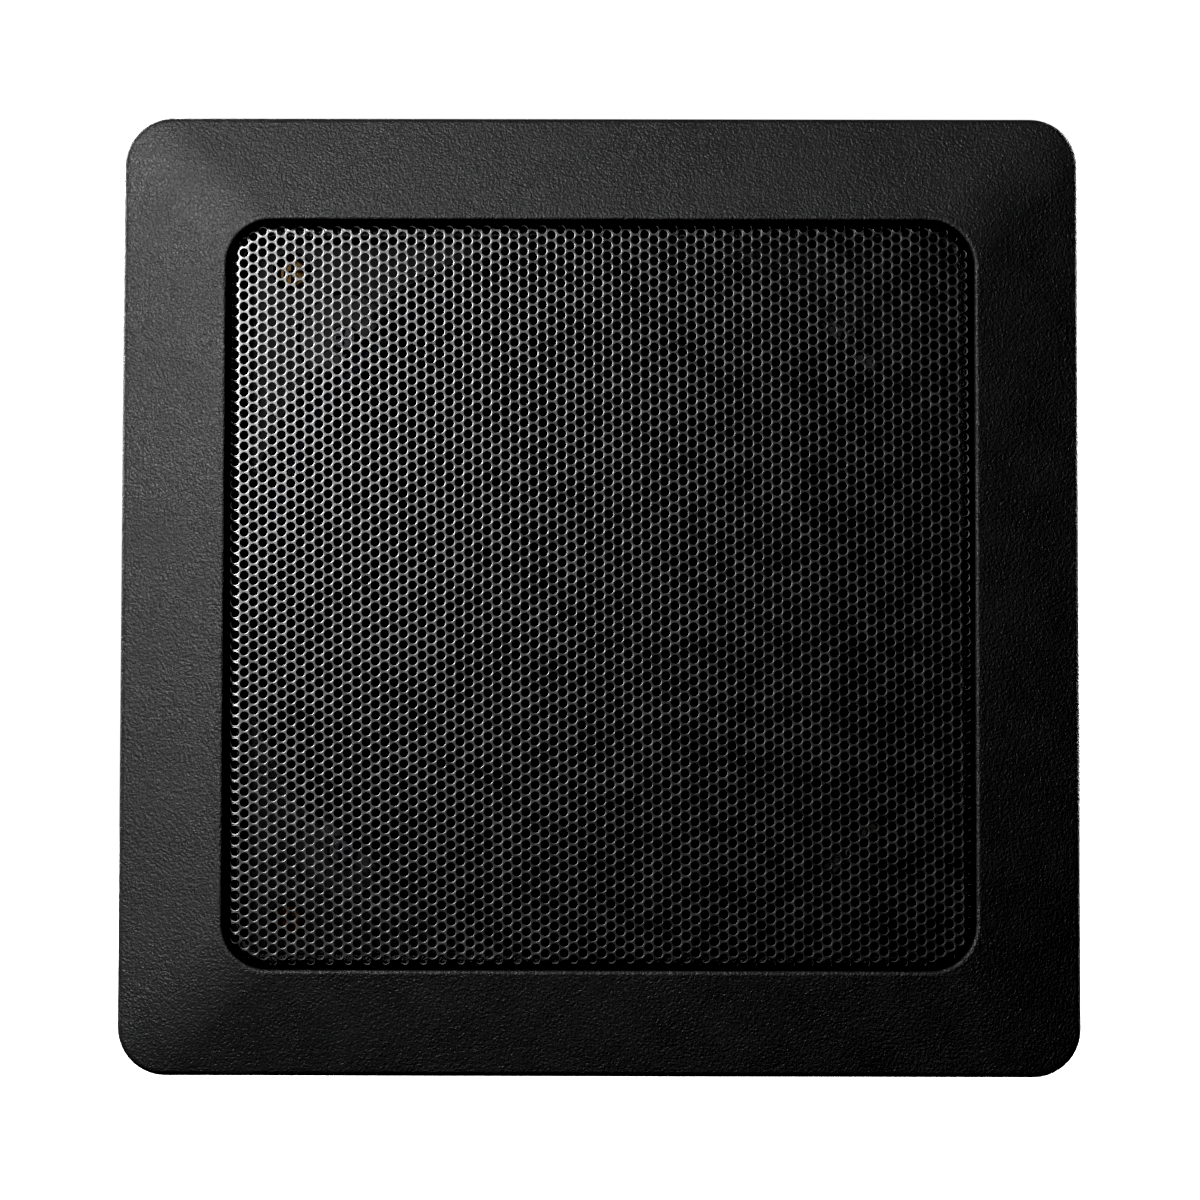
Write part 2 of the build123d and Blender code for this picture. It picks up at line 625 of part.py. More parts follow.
def terminal_contacts():
    """Spring contact of each terminal, with its tab through the housing's top wall."""
    half = CONTACT_WIDTH / 2
    back = CONTACT_Y + CONTACT_THICKNESS
    pieces = []
    for x in (-POLE_SPACING / 2, POLE_SPACING / 2):
        strip = block(x - half, x + half, CONTACT_Y, back, -85.2, -66.0)
        tongue = block(x - half, x + half, back, 31.0, -85.2, -85.2 + CONTACT_THICKNESS)
        pieces.append(strip + tongue)
    return pieces


def terminal_screws():
    """Two screws that hold the terminal block."""
    seat = BLOCK_FRONT + BLOCK_EAR
    pieces = []
    for x in (-BLOCK_SCREW_X, BLOCK_SCREW_X):
        forward = screw(x, BLOCK_SCREW_Z, -seat, 2.9, 2.0, 1.38, -seat + 12.0, 3.2)
        pieces.append(mirror(forward, about=Plane.XZ))
    return pieces


def tag_board():
    """Insulating board behind the basket's ear."""
    face = SPIDER_SEAT + STEEL
    rear = face + BOARD_THICKNESS
    solid = block(-10, 10, face, rear, -51.5, -41.0)
    return solid - rod(0, RIVET_Z, RIVET_RADIUS, face, rear)


def tag_rivet():
    """Rivet through ear and board."""
    face = SPIDER_SEAT
    rear = face + STEEL + BOARD_THICKNESS
    solid = rod(0, RIVET_Z, RIVET_RADIUS, face, rear)
    solid += rod(0, RIVET_Z, RIVET_HEAD_RADIUS, face - RIVET_HEAD_HEIGHT, face)
    return solid + rod(0, RIVET_Z, RIVET_HEAD_RADIUS, rear, rear + RIVET_HEAD_HEIGHT)


def driver_tags():
    """Two folded brass tags on the board."""
    face = SPIDER_SEAT + STEEL + BOARD_THICKNESS
    fold = face + TAG_THICKNESS
    pieces = []
    for x in (-TAG_X, TAG_X):
        left, right = x - TAG_HALF, x + TAG_HALF
        base = block(left, right, face, fold, -50.5, -44.0)
        blade = block(left, right, fold, 38.0, -44.0 - TAG_THICKNESS, -44.0)
        pieces.append(base + blade)
    return pieces


def lead_sleeves():
    """Insulated push-on receivers at both ends of the two leads."""
    pieces = []
    middle = CONTACT_Y + CONTACT_THICKNESS / 2
    for side in (-1, 1):
        x = side * POLE_SPACING / 2
        sleeve = block(x - 3.2, x + 3.2, middle - 1.6, middle + 1.6, -73.0, -62.0)
        sleeve = fillet(sleeve.edges().filter_by(Axis.Z), 1.2)
        sleeve -= block(x - 2.4, x + 2.4, CONTACT_Y, CONTACT_Y + CONTACT_THICKNESS, -73.0, -66.0)
        pieces.append(sleeve)
        x = side * TAG_X
        sleeve = block(x - 3.2, x + 3.2, 31.0, 42.0, -46.0, -42.8)
        sleeve = fillet(sleeve.edges().filter_by(Axis.Y), 1.2)
        sleeve -= block(x - TAG_HALF, x + TAG_HALF, 31.0, 38.0, -44.0 - TAG_THICKNESS, -44.0)
        pieces.append(sleeve)
    return pieces


def tube(points, radii, radius):
    """Round lead along straight runs joined by tangent arcs."""
    path = FilletPolyline(*points, radius=radii)
    section = Plane(origin=path @ 0, z_dir=path % 0) * Circle(radius)
    return sweep(section, path)


def lead(side):
    """Lead from one spring terminal to the driver's tag on the same side."""
    middle = CONTACT_Y + CONTACT_THICKNESS / 2
    start = side * POLE_SPACING / 2
    end = side * TAG_X
    points = [(start, middle, -62.0), (start, middle, -53.6), (start, 52.0, -53.6),
              (end, 52.0, -44.4), (end, 42.0, -44.4)]
    return tube(points, [4.5, 4.4, 4.4], LEAD_RADIUS)


def tinsel_leads():
    """Braided leads from the back of the cone to the tags."""
    pieces = []
    for side in (-1, 1):
        x = side * 11.0
        start = cone_depth(math.hypot(x, 25.0)) + PAPER + 0.4
        rear = SPIDER_SEAT + STEEL + BOARD_THICKNESS + TINSEL_RADIUS + RUNNING
        points = [(x, start, -25.0), (x, start + 3.4, -25.0), (x, 21.4, -45.0),
                  (x, 24.2, -55.0), (x, rear, -55.0), (x, rear, -47.2),
                  (side * (TAG_X + TAG_HALF), rear, -47.2)]
        pieces.append(tube(points, [2.5, 6.0, 2.0, 2.0, 0.9], TINSEL_RADIUS))
    return pieces


def save(name, shape):
    """Write one node's STEP file."""
    if isinstance(shape, list):
        solids = [s for item in shape for s in item.solids()]
        shape = Compound(children=solids) if len(solids) > 1 else solids[0]
    export_step(shape, f"parts/{name}.step")


def main():
    """Build and write every piece."""
    os.makedirs("parts", exist_ok=True)
    save("front_frame", front_frame())
    save("grille", grille())
    save("driver_gasket", driver_gasket())
    save("basket", basket())
    save("surround", surround())
    save("gasket_segments", gasket_segments())
    save("cone", cone())
    save("dust_cap", dust_cap())
    save("coil_former", coil_former())
    save("voice_coil", voice_coil())
    save("spider", spider())
    save("top_plate", top_plate())
    save("magnet", magnet())
    save("yoke", yoke())
    save("driver_screws", driver_screws())
    for corner in CORNERS:
        save(f"clamp_screw_{corner}", at_corner(clamp_screw(), corner))
        save(f"clamp_retainer_{corner}", at_corner(clamp_retainer(), corner))
        save(f"clamp_bush_{corner}", at_corner(clamp_bush(), corner))
        save(f"clamp_arm_{corner}", at_corner(clamp_arm(), corner))
    save("terminal_block", terminal_block())
    save("terminal_lever_black", terminal_lever(-POLE_SPACING / 2))
    save("terminal_lever_red", terminal_lever(POLE_SPACING / 2))
    save("terminal_contacts", terminal_contacts())
    save("terminal_screws", terminal_screws())
    save("tag_board", tag_board())
    save("tag_rivet", tag_rivet())
    save("driver_tags", driver_tags())
    save("lead_sleeves", lead_sleeves())
    save("lead_black", lead(-1))
    save("lead_red", lead(1))
    save("tinsel_leads", tinsel_leads())


main()
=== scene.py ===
"""Looks of the square flush-mount loudspeaker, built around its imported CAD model.

Metres, in the model's own frame: the front faces -Y and Z points up.
"""
import math

import bpy
import numpy as np
from mathutils import Matrix, Vector


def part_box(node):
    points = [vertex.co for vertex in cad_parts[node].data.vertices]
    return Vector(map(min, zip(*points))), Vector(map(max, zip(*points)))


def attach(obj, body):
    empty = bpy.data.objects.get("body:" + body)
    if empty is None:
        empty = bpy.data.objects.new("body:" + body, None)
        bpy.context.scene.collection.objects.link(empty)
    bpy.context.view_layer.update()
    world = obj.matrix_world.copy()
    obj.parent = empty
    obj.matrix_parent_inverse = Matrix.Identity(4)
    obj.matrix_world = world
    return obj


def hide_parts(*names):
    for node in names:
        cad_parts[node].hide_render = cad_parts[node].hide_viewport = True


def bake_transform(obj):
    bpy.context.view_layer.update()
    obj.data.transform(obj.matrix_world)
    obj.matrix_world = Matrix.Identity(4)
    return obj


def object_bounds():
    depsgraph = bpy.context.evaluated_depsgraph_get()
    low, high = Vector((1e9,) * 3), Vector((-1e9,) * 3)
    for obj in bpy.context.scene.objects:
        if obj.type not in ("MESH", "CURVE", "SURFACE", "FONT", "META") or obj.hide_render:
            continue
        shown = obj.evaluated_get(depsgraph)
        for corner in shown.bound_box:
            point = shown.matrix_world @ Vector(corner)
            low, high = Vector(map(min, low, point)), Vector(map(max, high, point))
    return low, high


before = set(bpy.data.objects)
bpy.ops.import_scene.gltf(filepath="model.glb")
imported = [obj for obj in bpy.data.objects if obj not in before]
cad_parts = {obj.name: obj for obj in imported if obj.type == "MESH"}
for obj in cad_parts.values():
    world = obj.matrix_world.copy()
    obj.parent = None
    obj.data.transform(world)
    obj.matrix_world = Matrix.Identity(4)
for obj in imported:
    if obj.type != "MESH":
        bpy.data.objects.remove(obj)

MM = 0.001
cad_low, cad_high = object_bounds()

# ---- camera: the photograph's viewpoint, from the centre of the grille's face ---------------
CAMERA_OFFSET = (1.744 * MM, -623.693 * MM, -23.697 * MM)
CAMERA_YAW = -0.156
CAMERA_PITCH = 2.040
CAMERA_ROLL = 0.125
CAMERA_LENS = 81.0

# ---- grille ---------------------------------------------------------------------------------
pan_low, pan_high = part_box("grille")
SHEET = 0.7 * MM
BEND = 2.0 * MM             # outer radius of the folded edge
PAN_CORNER = 10.0 * MM      # corner radius of the pan's outline
HOLE_PITCH = 2.5 * MM
HOLE_RADIUS = 1.0 * MM
HOLE_EDGE = 0.16 * MM       # broken edge of a punched hole
ROLL_WIDTH = 0.115 * MM     # outer part of that edge, rolled in by the punch
ROLL_DEPTH = 0.025 * MM
HOLE_SIDES = 12
LATTICE_TURN = 0.42         # degrees anticlockwise, seen from the front
LATTICE_START = (0.065 * MM, -0.342 * MM)
END_MARGIN = 0.35 * MM      # metal left between the last holes and the pan's rear edge
WELD = 0.001 * MM           # points closer than this are one point
NEUTRAL = BEND - SHEET / 2                                  # the fold's unstretched radius
FOLD_LENGTH = NEUTRAL * math.pi / 2
FLAT_HALF = (pan_high.x - pan_low.x) / 2 - BEND             # half of the pan's flat face
FLAT_CORNER = PAN_CORNER - BEND
FLAP = FOLD_LENGTH + (pan_high.y - pan_low.y - BEND)        # from the flat face to the blank's edge

# ---- clamp screws ---------------------------------------------------------------------------
THREAD_PITCH = 1.4 * MM
THREAD_DEPTH = 0.34 * MM
THREAD_SIDES = 28
THREAD_STEPS = 8            # rows of points in one turn
SHANK_RADIUS = 2.0 * MM
HEAD_OUTSIDE = 2.02 * MM    # what is further than this from the axis is part of the head
PLAIN_NECK = 3.2 * MM       # shank without a thread, under the head
POINT_LENGTH = 1.2 * MM
POINT_SHARE = 0.35          # of the shank's radius, left at its end
CREST_SLOPE = 2.2
CREST_LEVEL = 0.45

# ---- moulding: the grain of its face fades out between these depths -------------------------
GRAIN_ENDS = (-1.5 * MM, 0.5 * MM)

# ---- studio ---------------------------------------------------------------------------------
FRONT_TARGET = (-0.03, 0.0, 0.03)
REAR_TARGET = (0.0, 0.05, 0.0)
REAR_SOFT_BOX = (0.5, 0.5)
REAR_LIGHTS = (
    ("rear_left", (-0.5, 0.75, 0.45), 16.0),
    ("rear_right", (0.6, 0.7, 0.2), 13.0),
    ("far_right", (0.75, 0.50, 0.35), 6.0),
    ("far_left", (-0.75, 0.50, 0.35), 6.0),
)
WORLD_LIGHT = 0.01
FLOOR_LIGHT = 1.03
FLOOR_GAP = 0.0005          # the floor lies this far below the part
FLOOR_REACH = 2.6
FLOOR_CURVE = 0.6           # radius where the floor turns up into the wall
FLOOR_INNER = 0.3           # radius of the floor's first ring
WALL_HEIGHT = 3.0
FLOOR_SIDES = 64
CURVE_STEPS = 12
BLACK_LEVEL = 0.0087        # scene value that shows as black


# =============================================================================================
# Node materials
# =============================================================================================
class Finish:
    """One procedural material, built node by node in the model's own coordinates."""

    def __init__(self, name, **values):
        self.name = name
        self.material = bpy.data.materials.new(name)
        self.material.use_nodes = True
        self.tree = self.material.node_tree
        self.tree.nodes.clear()
        output = self.add("ShaderNodeOutputMaterial")
        self.shader = self.add("ShaderNodeBsdfPrincipled")
        self.tree.links.new(self.shader.outputs["BSDF"], output.inputs["Surface"])
        self.coords = self.add("ShaderNodeTexCoord").outputs["Object"]
        self.normal = None
        for socket, value in values.items():
            self.set(socket.replace("_", " "), value)

    def add(self, kind, **settings):
        node = self.tree.nodes.new(kind)
        for key, value in settings.items():
            setattr(node, key, value)
        return node

    def feed(self, socket, value):
        """Give a socket a number, a colour or another node's output."""
        if isinstance(value, bpy.types.NodeSocket):
            self.tree.links.new(value, socket)
        elif isinstance(value, tuple) and len(value) == 3 and socket.type == "RGBA":
            socket.default_value = (*value, 1.0)
        else:
            socket.default_value = value

    def set(self, socket, value):
        """Give one of the shader's sockets its value."""
        self.feed(self.shader.inputs[socket], value)

    def scaled(self, stretch):
        """The coordinates, each multiplied by its share of stretch."""
        mapping = self.add("ShaderNodeMapping")
        self.feed(mapping.inputs["Vector"], self.coords)
        mapping.inputs["Scale"].default_value = stretch
        return mapping.outputs["Vector"]

    def noise(self, size, detail=3.0, rough=0.5, stretch=None, distortion=0.0):
        """Noise whose features are about size metres across."""
        node = self.add("ShaderNodeTexNoise")
        self.feed(node.inputs["Vector"], self.scaled(stretch) if stretch else self.coords)
        node.inputs["Scale"].default_value = 1.0 / size
        node.inputs["Detail"].default_value = detail
        node.inputs["Roughness"].default_value = rough
        node.inputs["Distortion"].default_value = distortion
        return node.outputs["Fac"]

    def cells(self, size, stretch=None):
        """Distance from the middles of cells about size metres across."""
        node = self.add("ShaderNodeTexVoronoi")
        self.feed(node.inputs["Vector"], self.scaled(stretch) if stretch else self.coords)
        node.inputs["Scale"].default_value = 1.0 / size
        return node.outputs["Distance"]

    def axis(self, name):
        """One of the coordinates."""
        node = self.add("ShaderNodeSeparateXYZ")
        self.feed(node.inputs[0], self.coords)
        return node.outputs[name]

    def radius(self):
        """Distance from the driver's axis."""
        x, z = self.axis("X"), self.axis("Z")
        return self.math("SQRT", self.math("ADD", self.math("MULTIPLY", x, x),
                                           self.math("MULTIPLY", z, z)))

    def math(self, operation, a, b=0.0):
        node = self.add("ShaderNodeMath", operation=operation)
        self.feed(node.inputs[0], a)
        self.feed(node.inputs[1], b)
        return node.outputs[0]

    def span(self, value, low, high, to_low=0.0, to_high=1.0):
        """Value moved from the range low to high into the range to_low to to_high."""
        node = self.add("ShaderNodeMapRange")
        self.feed(node.inputs["Value"], value)
        for key, number in (("From Min", low), ("From Max", high),
                            ("To Min", to_low), ("To Max", to_high)):
            node.inputs[key].default_value = number
        return node.outputs["Result"]

    def blend(self, share, a, b):
        """Colour a where share is 0, and b where it is 1."""
        node = self.add("ShaderNodeMix", data_type="RGBA")
        self.feed(node.inputs["Factor"], share)
        for socket in node.inputs:
            if socket.type == "RGBA" and socket.name == "A":
                self.feed(socket, a)
            if socket.type == "RGBA" and socket.name == "B":
                self.feed(socket, b)
        return [s for s in node.outputs if s.type == "RGBA"][0]

    def bump(self, height, distance, strength=1.0):
        """Add relief, distance metres high, on top of what is there."""
        node = self.add("ShaderNodeBump")
        node.inputs["Strength"].default_value = strength
        node.inputs["Distance"].default_value = distance
        self.feed(node.inputs["Height"], height)
        if self.normal is not None:
            self.feed(node.inputs["Normal"], self.normal)
        self.normal = node.outputs["Normal"]
        self.set("Normal", self.normal)


def moulded_plastic(name, dark, light, rough, grain_size, relief):
    """Spark-eroded moulding: cells of fine grain, faint flow marks and handling shine."""
    f = Finish(name)
    mottle = f.noise(9 * MM, 4.0)
    speck = f.noise(0.35 * MM, 2.0)
    f.set("Base Color", f.blend(f.math("MULTIPLY", mottle, speck), dark, light))
    behind = f.span(f.axis("Y"), *GRAIN_ENDS)
    polish = f.span(f.noise(14 * MM, 3.0), 0.35, 0.65, rough - 0.04, rough + 0.05)
    f.set("Roughness", f.math("ADD", polish, f.math("MULTIPLY", behind, 0.25)))
    f.set("Specular IOR Level", f.span(behind, 0.0, 1.0, 0.5, 0.2))
    grain = f.noise(grain_size, 2.5, 0.55, distortion=0.4)
    f.bump(f.math("MULTIPLY", grain, f.span(behind, 0.0, 1.0, 1.0, 0.2)), relief)
    f.bump(f.noise(grain_size * 0.4, 2.0), relief * 0.08)
    return f


def painted_steel(name, dark, light, rough):
    """Thin satin paint on steel: orange peel, dust nibs and worn sheen."""
    f = Finish(name)
    f.set("Base Color", f.blend(f.noise(6 * MM, 4.0), dark, light))
    f.set("Roughness", f.span(f.noise(5 * MM, 4.0), 0.3, 0.7, rough - 0.05, rough + 0.06))
    f.bump(f.noise(0.55 * MM, 2.0), 0.012 * MM)
    f.bump(f.span(f.cells(1.4 * MM), 0.0, 0.09, 1.0, 0.0), 0.01 * MM, 0.6)
    return f


def lacquered(name):
    """Semi-gloss black lacquer over phosphated steel, with its reflection turned down round the fold as
    painted shade.
    """
    f = painted_steel(name, (0.003, 0.003, 0.0032), (0.008, 0.008, 0.0085), 0.305)
    face = pan_low.y
    f.set("IOR", 3.3)
    # painted shade: the reflection fades to almost nothing just behind the front face, so the fold shows
    # dark
    f.set("Specular IOR Level", f.span(f.axis("Y"), face - 0.02 * MM, face + 0.14 * MM, 0.5, 0.02))
    return f


def sheared_bore(name):
    """Wall of a punched hole: torn steel under a thin, dull coat, painted near black with little
    reflection round the fold as painted shade.
    """
    f = Finish(name)
    rear = pan_low.y + SHEET
    # painted shade: behind the sheet's rear face, round the fold, the bores turn near black and lose
    # their reflection
    fold = f.span(f.axis("Y"), rear - 0.05 * MM, rear + 0.05 * MM)
    bare = f.blend(f.noise(0.6 * MM, 3.0), (0.07, 0.07, 0.073), (0.15, 0.15, 0.155))
    f.set("Base Color", f.blend(fold, bare, (0.002, 0.002, 0.002)))
    f.set("Roughness", f.span(f.noise(0.8 * MM, 3.0), 0.3, 0.7, 0.45, 0.6))
    f.set("IOR", 2.0)
    f.set("Specular IOR Level", f.span(fold, 0.0, 1.0, 0.5, 0.03))
    f.bump(f.noise(0.3 * MM, 3.0, stretch=(1.0, 0.25, 1.0)), 0.03 * MM)
    return f


def pressed_board(name):
    """Black fibre board of the gasket segments, paler beside the driver's screws."""
    f = Finish(name)
    off_diagonal = f.math("ABSOLUTE", f.math("SUBTRACT", f.math("ABSOLUTE", f.axis("X")),
                                             f.math("ABSOLUTE", f.axis("Z"))))
    ragged = f.math("ADD", off_diagonal, f.math("MULTIPLY", f.noise(2 * MM, 3.0), 3 * MM))
    # the board is paler on the diagonals, beside the driver's screws, and black elsewhere
    away_from_screws = f.span(ragged, 11 * MM, 13.5 * MM)
    f.set("Base Color", f.blend(away_from_screws, (0.05, 0.05, 0.047), (0.006, 0.006, 0.006)))
    f.set("Roughness", 0.85)
    f.bump(f.noise(0.5 * MM, 4.0, 0.6), 0.05 * MM)
    return f


def plated_metal(name, low, high, rough, relief=0.01 * MM, brushed=None):
    """Bare or plated metal: cloudy plating, fine scratches and darker stains."""
    f = Finish(name, Metallic=1.0)
    cloud = f.noise(3.5 * MM, 5.0, 0.6)
    f.set("Base Color", f.blend(cloud, low, high))
    scratch = f.noise(0.5 * MM, 3.0, 0.6, stretch=brushed or (1.0, 6.0, 1.0))
    f.set("Roughness", f.span(f.math("ADD", cloud, scratch), 0.6, 1.4, rough - 0.08, rough + 0.12))
    f.bump(scratch, relief)
    return f


def soft_plain(name, dark, light, rough, size=0.5 * MM, relief=0.02 * MM):
    """Small soft or glued part: fine mottling and a slightly uneven face."""
    f = Finish(name)
    f.set("Base Color", f.blend(f.noise(size * 6, 4.0), dark, light))
    f.set("Roughness", f.span(f.noise(size * 8, 3.0), 0.3, 0.7, rough - 0.05, rough + 0.05))
    f.bump(f.noise(size, 3.0, 0.6), relief)
    return f


def open_foam(name):
    """Closed-cell foam strip: a soft grey-black body whose pores are coloured darker, as painted shade
    in their pits.
    """
    f = Finish(name)
    pores = f.cells(0.45 * MM)
    walls = f.span(pores, 0.1, 0.7)
    # painted shade: the colour darkens towards each pore's middle, the low point of its pit in the bump
    f.set("Base Color", f.blend(walls, (0.006, 0.006, 0.007), (0.03, 0.03, 0.032)))
    f.set("Roughness", 0.93)
    f.bump(pores, 0.12 * MM)
    return f


def rubber():
    """Butyl rubber of the surround: matte, with talc bloom and faint concentric lines."""
    f = Finish("rubber")
    rings = f.math("SINE", f.math("MULTIPLY", f.radius(), 2 * math.pi / (0.9 * MM)))
    bloom = f.noise(4 * MM, 5.0, 0.6)
    f.set("Base Color", f.blend(bloom, (0.005, 0.006, 0.008), (0.012, 0.014, 0.018)))
    f.set("Roughness", f.span(f.noise(7 * MM, 4.0), 0.3, 0.7, 0.5, 0.64))
    f.set("Specular IOR Level", 0.1)
    f.bump(rings, 0.012 * MM)
    f.bump(f.noise(0.5 * MM, 2.0), 0.015 * MM)
    return f


def cone_paper():
    """Pressed paper pulp: matted fibres in black with paler ones showing."""
    f = Finish("paper_cone")
    fibres = f.noise(1.2 * MM, 6.0, 0.65, stretch=(1.0, 1.0, 3.5), distortion=1.5)
    lumps = f.noise(3.5 * MM, 3.0)
    share = f.span(f.math("MULTIPLY", fibres, lumps), 0.12, 0.42)
    f.set("Base Color", f.blend(share, (0.004, 0.004, 0.0045), (0.014, 0.0135, 0.013)))
    f.set("Roughness", f.span(lumps, 0.3, 0.7, 0.7, 0.86))
    f.set("Specular IOR Level", 0.15)
    f.bump(fibres, 0.09 * MM)
    f.bump(lumps, 0.12 * MM)
    return f


def woven_cloth():
    """Impregnated cloth of the spider: two sets of threads and amber resin."""
    f = Finish("spider_cloth")
    step = 2 * math.pi / (0.55 * MM)
    warp = f.math("SINE", f.math("MULTIPLY", f.axis("X"), step))
    weft = f.math("SINE", f.math("MULTIPLY", f.axis("Z"), step))
    weave = f.math("MULTIPLY", warp, weft)
    resin = f.noise(6 * MM, 4.0)
    f.set("Base Color", f.blend(resin, (0.30, 0.16, 0.055), (0.48, 0.30, 0.12)))
    f.set("Roughness", f.span(resin, 0.3, 0.7, 0.55, 0.75))
    f.bump(weave, 0.09 * MM)
    f.bump(f.noise(0.2 * MM, 2.0), 0.03 * MM)
    return f


def wound_copper():
    """Enamelled winding: one line for each turn."""
    f = Finish("copper", Metallic=1.0)
    turns = f.math("SINE", f.math("MULTIPLY", f.axis("Y"), 2 * math.pi / (0.2 * MM)))
    f.set("Base Color", f.blend(f.noise(2 * MM, 3.0), (0.45, 0.16, 0.06), (0.72, 0.30, 0.12)))
    f.set("Roughness", 0.3)
    f.bump(turns, 0.08 * MM)
    return f


def braided(name, low, high, metallic):
    """Braid of fine strands along a thin lead, darker in the pits between the strands as painted shade.
    """
    f = Finish(name, Metallic=metallic)
    strands = f.cells(0.28 * MM, stretch=(1.0, 0.5, 1.0))
    # painted shade: the colour darkens towards each cell's middle, the low point of the bump
    f.set("Base Color", f.blend(f.span(strands, 0.1, 0.7), low, high))
    f.set("Roughness", 0.5)
    f.bump(strands, 0.06 * MM)
    return f


def ferrite():
    """Ground ceramic magnet: dark grey, speckled, with pale grinding dust."""
    f = Finish("ferrite")
    specks = f.noise(0.6 * MM, 5.0, 0.7)
    stains = f.noise(16 * MM, 4.0)
    dust = f.math("MULTIPLY", specks, stains)
    f.set("Base Color", f.blend(dust, (0.028, 0.029, 0.032), (0.16, 0.16, 0.17)))
    f.set("Roughness", f.span(stains, 0.3, 0.7, 0.5, 0.72))
    f.bump(specks, 0.035 * MM)
    f.bump(f.span(f.cells(7 * MM), 0.0, 0.12, 0.0, 1.0), 0.10 * MM, 0.7)
    return f


def finishes():
    """Every finish by its name: one for each material slot of the CAD, and three more."""
    made = [
        moulded_plastic("moulded_black", (0.024, 0.024, 0.0246), (0.044, 0.044, 0.045), 0.36,
                        grain_size=0.6 * MM, relief=0.34 * MM),
        lacquered("grille_black"),
        open_foam("foam"),
        painted_steel("basket_steel", (0.010, 0.010, 0.011), (0.022, 0.022, 0.024), 0.62),
        rubber(),
        cone_paper(),
        soft_plain("former", (0.30, 0.19, 0.08), (0.42, 0.28, 0.13), 0.45),
        wound_copper(),
        woven_cloth(),
        plated_metal("zinc_plate", (0.40, 0.41, 0.43), (0.62, 0.63, 0.65), 0.34),
        ferrite(),
        plated_metal("black_screw", (0.035, 0.035, 0.037), (0.10, 0.10, 0.11), 0.42),
        plated_metal("yellow_zinc", (0.035, 0.022, 0.010), (0.17, 0.105, 0.042), 0.34),
        plated_metal("spring_steel", (0.22, 0.22, 0.24), (0.42, 0.42, 0.45), 0.32),
        plated_metal("brass", (0.58, 0.38, 0.12), (0.84, 0.62, 0.27), 0.28),
        moulded_plastic("nylon", (0.012, 0.012, 0.013), (0.028, 0.028, 0.03), 0.44,
                        grain_size=1.4 * MM, relief=0.02 * MM),
        plated_metal("tinned_brass", (0.55, 0.54, 0.50), (0.78, 0.77, 0.73), 0.3),
        soft_plain("phenolic", (0.10, 0.042, 0.018), (0.20, 0.09, 0.04), 0.5, size=0.8 * MM),
        soft_plain("sleeve", (0.55, 0.55, 0.53), (0.70, 0.70, 0.68), 0.42),
        soft_plain("wire_black", (0.010, 0.010, 0.011), (0.022, 0.022, 0.024), 0.38),
        soft_plain("wire_red", (0.34, 0.014, 0.010), (0.46, 0.03, 0.02), 0.38),
        moulded_plastic("lever_black", (0.010, 0.010, 0.011), (0.022, 0.022, 0.024), 0.36,
                        grain_size=1.0 * MM, relief=0.02 * MM),
        moulded_plastic("lever_red", (0.36, 0.012, 0.010), (0.50, 0.03, 0.022), 0.36,
                        grain_size=1.0 * MM, relief=0.02 * MM),
        sheared_bore("sheared_bore"),
        pressed_board("pressed_board"),
        braided("tinsel", (0.20, 0.09, 0.035), (0.62, 0.36, 0.17), 1.0),
    ]
    return {f.name: f.material for f in made}


# =============================================================================================
# Pieces
# =============================================================================================
def new_piece(name, points, faces, material, smooth=True):
    """Mesh object from points in metres and lists of faces."""
    mesh = bpy.data.meshes.new(name)
    mesh.from_pydata([tuple(p) for p in points], [], faces)
    mesh.materials.append(material)
    if smooth:
        mesh.shade_smooth()
    else:
        mesh.shade_flat()
    mesh.update()
    piece = bpy.data.objects.new(name, mesh)
    bpy.context.scene.collection.objects.link(piece)
    return piece


def outline_distance(u, v, half, corner):
    """Distance outside a rounded square, and the direction away from it."""
    qu, qv = np.abs(u) - (half - corner), np.abs(v) - (half - corner)
    round_part = (qu > 0) & (qv > 0)
    reach = np.hypot(qu, qv)
    reach = np.where(reach < 1e-12, 1.0, reach)
    beside = qu > qv
    distance = np.where(round_part, reach - corner, np.where(beside, qu, qv) - corner)
    nu = np.where(round_part, qu / reach, np.where(beside, 1.0, 0.0)) * np.sign(u)
    nv = np.where(round_part, qv / reach, np.where(beside, 0.0, 1.0)) * np.sign(v)
    return distance, nu, nv


def folded(u, v, share):
    """Blank point (u, v), at a share of the sheet's thickness, on the folded pan."""
    d, nu, nv = outline_distance(u, v, FLAT_HALF, FLAT_CORNER)
    out = np.clip(d, 0, None)
    base_u, base_v = u - nu * out, v - nv * out
    radius = BEND - share * SHEET
    angle = np.clip(out / NEUTRAL, 0, math.pi / 2)
    side = radius * np.sin(angle)
    depth = pan_low.y + BEND - radius * np.cos(angle) + np.clip(out - FOLD_LENGTH, 0, None)
    return np.stack([base_u + nu * side, depth, base_v + nv * side], -1)


def turned(u, v):
    """Lattice point (u, v) on the blank: the lattice lies at a small angle to its edges."""
    turn = math.radians(LATTICE_TURN)
    cos, sin = math.cos(turn), math.sin(turn)
    return u * cos - v * sin, u * sin + v * cos


def hole_centres():
    """Every hole's place in the lattice, for the holes that lie inside the blank."""
    step = HOLE_PITCH * math.sqrt(3) / 2
    count = int((FLAT_HALF + FLAP) / step) + 3
    rows = int((FLAT_HALF + FLAP) / HOLE_PITCH) + 3
    i, j = np.meshgrid(np.arange(-count, count + 1), np.arange(-rows, rows + 1), indexing="ij")
    lattice_u = LATTICE_START[0] + i * step
    lattice_v = LATTICE_START[1] + j * HOLE_PITCH + (i % 2) * HOLE_PITCH / 2
    centre_u, centre_v = turned(lattice_u.ravel(), lattice_v.ravel())
    d, _, _ = outline_distance(centre_u, centre_v, FLAT_HALF, FLAT_CORNER)
    keep = d <= FLAP - HOLE_RADIUS - END_MARGIN
    return np.stack([lattice_u.ravel()[keep], lattice_v.ravel()[keep]], -1)


